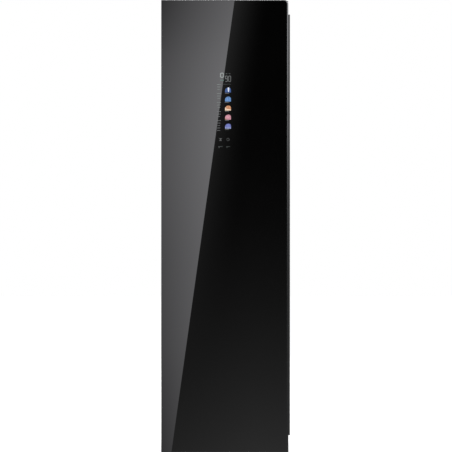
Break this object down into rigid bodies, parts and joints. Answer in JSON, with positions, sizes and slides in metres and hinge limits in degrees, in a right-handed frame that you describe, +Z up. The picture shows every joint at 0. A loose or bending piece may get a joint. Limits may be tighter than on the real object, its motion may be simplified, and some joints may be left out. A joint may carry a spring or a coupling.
{
  "type": "clothes care steam cabinet",
  "caption": "Tall free-standing clothes care cabinet: a full-height black glass door with a side grip, a steam compartment with a shaking rail, and water tanks below.",
  "frame": {"origin": "on the floor, under the middle of the carcass width and of the overall depth", "axes": "+Z up, the door faces -Y, +X to the right as seen from the front (hinges on the -X side)"},
  "size_m": [0.5364, 0.5915, 1.9],
  "materials": {
    "graphite_steel": "satin",
    "zinc_steel": "satin",
    "black_rubber": "matte",
    "black_plastic": "matte",
    "liner_grey": "satin",
    "foam": "matte",
    "trim_dark": "satin",
    "lamp_white": "gloss",
    "motor_steel": "satin",
    "rail_chrome": "polished",
    "hanger_black": "satin",
    "white_plastic": "matte",
    "fin_aluminium": "satin",
    "boiler_plastic": "matte",
    "hose_silicone": "matte",
    "black_enamel": "gloss",
    "copper_pipe": "satin",
    "tank_clear": "gloss",
    "tank_lid_grey": "satin",
    "tank_lid_dark": "satin",
    "rim_metal": "satin",
    "black_glass": "polished",
    "gasket_grey": "matte",
    "press_dark": "satin",
    "press_grey": "satin"
  },
  "bodies": {
    "carcass": {"base_pan": "zinc_steel", "rear_feet": "black_rubber", "panel_screws": "zinc_steel", "left_side_panel": "graphite_steel", "right_side_panel": "graphite_steel", "top_cover": "graphite_steel", "back_panel": "zinc_steel", "service_cover": "zinc_steel", "power_inlet": "black_plastic", "compartment_liner": "liner_grey", "insulation": "foam", "deck_plate": "zinc_steel", "outlet_grille": "trim_dark", "ceiling_lamp": "lamp_white", "roof_beam": "zinc_steel", "control_box": "black_plastic", "drive_motor": "motor_steel", "drive_belt": "black_rubber", "bar_guides": "trim_dark", "drive_cover": "trim_dark", "intake_duct": "white_plastic", "heat_exchangers": "fin_aluminium", "fan_housing": "white_plastic", "fan_motor": "motor_steel", "steam_generator": "boiler_plastic", "steam_hose": "hose_silicone", "steam_nozzle": "trim_dark", "water_pumps": "black_plastic", "compressor": "black_enamel", "compressor_mounts": "black_rubber", "refrigerant_pipe": "copper_pipe", "tank_bay": "white_plastic", "front_fascia": "trim_dark", "upper_hinge_bracket": "zinc_steel", "lower_hinge_bracket": "zinc_steel"},
    "door": {"door_frame": "rim_metal", "door_glass": "black_glass", "hinge_blocks": "black_plastic", "display_board": "black_plastic", "door_core": "foam", "door_handle": "rim_metal", "door_liner": "liner_grey", "door_gasket": "gasket_grey", "press_board": "press_dark"},
    "press_plate": {"press_plate": "press_grey"},
    "supply_tank": {"supply_tank": "tank_clear", "supply_tank_lid": "tank_lid_grey"},
    "drain_tank": {"drain_tank": "tank_clear", "drain_tank_lid": "tank_lid_dark"},
    "shelf": {"shelf": "trim_dark"},
    "lint_filter": {"lint_filter": "trim_dark"},
    "hanger_rail": {"rail_tube": "rail_chrome", "rail_block": "black_plastic"},
    "hanger_left": {"hanger_left": "hanger_black"},
    "hanger_right": {"hanger_right": "hanger_black"},
    "crank": {"crank_shaft": "black_plastic"},
    "motor_pulley": {"motor_pulley": "black_plastic"},
    "fan": {"fan_wheel": "black_plastic"},
    "front_foot_left": {"front_foot_left": "black_rubber"},
    "front_foot_right": {"front_foot_right": "black_rubber"}
  },
  "joints": [
    {"name": "door_hinge", "type": "hinge", "parent": "carcass", "child": "door", "pos_m": [-0.253, -0.27, 0.95], "axis": [0, 0, -1], "range_deg": [0, 110]},
    {"name": "press_plate_hinge", "type": "hinge", "parent": "door", "child": "press_plate", "pos_m": [-0.172, -0.2265, 1.025], "axis": [0, 0, 1], "range_deg": [0, 90]},
    {"name": "supply_tank_slide", "type": "slide", "parent": "carcass", "child": "supply_tank", "axis": [0, -1, 0], "range_m": [0, 0.155]},
    {"name": "drain_tank_slide", "type": "slide", "parent": "carcass", "child": "drain_tank", "axis": [0, -1, 0], "range_m": [0, 0.155]},
    {"name": "shelf_lift", "type": "slide", "parent": "carcass", "child": "shelf", "axis": [0, 0, 1], "range_m": [0, 0.05]},
    {"name": "lint_filter_lift", "type": "slide", "parent": "carcass", "child": "lint_filter", "axis": [0, 0, 1], "range_m": [0, 0.11]},
    {"name": "hanger_shake", "type": "slide", "parent": "carcass", "child": "hanger_rail", "axis": [1, 0, 0], "range_m": [-0.009, 0.009]},
    {"name": "crank_turn", "type": "hinge", "parent": "carcass", "child": "crank", "pos_m": [0, -0.0065, 1.8], "axis": [0, 0, 1], "range_deg": [-30.5, 30.5]},
    {"name": "motor_pulley_turn", "type": "hinge", "parent": "carcass", "child": "motor_pulley", "pos_m": [0.11, -0.0065, 1.868], "axis": [0, 0, 1], "range_deg": [-107, 107]},
    {"name": "hanger_left_swing", "type": "hinge", "parent": "hanger_rail", "child": "hanger_left", "pos_m": [-0.12, -0.0065, 1.74], "axis": [1, 0, 0], "range_deg": [-6, 6]},
    {"name": "hanger_right_swing", "type": "hinge", "parent": "hanger_rail", "child": "hanger_right", "pos_m": [0.12, -0.0065, 1.74], "axis": [1, 0, 0], "range_deg": [-6, 6]},
    {"name": "fan_spin", "type": "hinge", "parent": "carcass", "child": "fan", "pos_m": [0, 0.235, 0.295], "axis": [0, 1, 0], "continuous": true},
    {"name": "front_foot_left_turn", "type": "hinge", "parent": "carcass", "child": "front_foot_left", "pos_m": [-0.23, -0.201, 0.01], "axis": [0, 0, 1], "continuous": true},
    {"name": "front_foot_right_turn", "type": "hinge", "parent": "carcass", "child": "front_foot_right", "pos_m": [0.23, -0.201, 0.01], "axis": [0, 0, 1], "continuous": true}
  ],
  "couplings": [
    {"joint": "supply_tank_slide", "follows": "door_hinge", "m_per_rad": 0.08},
    {"joint": "drain_tank_slide", "follows": "door_hinge", "m_per_rad": 0.08},
    {"joint": "crank_turn", "follows": "hanger_shake", "rad_per_m": -58.178},
    {"joint": "motor_pulley_turn", "follows": "hanger_shake", "rad_per_m": -203.62}
  ]
}
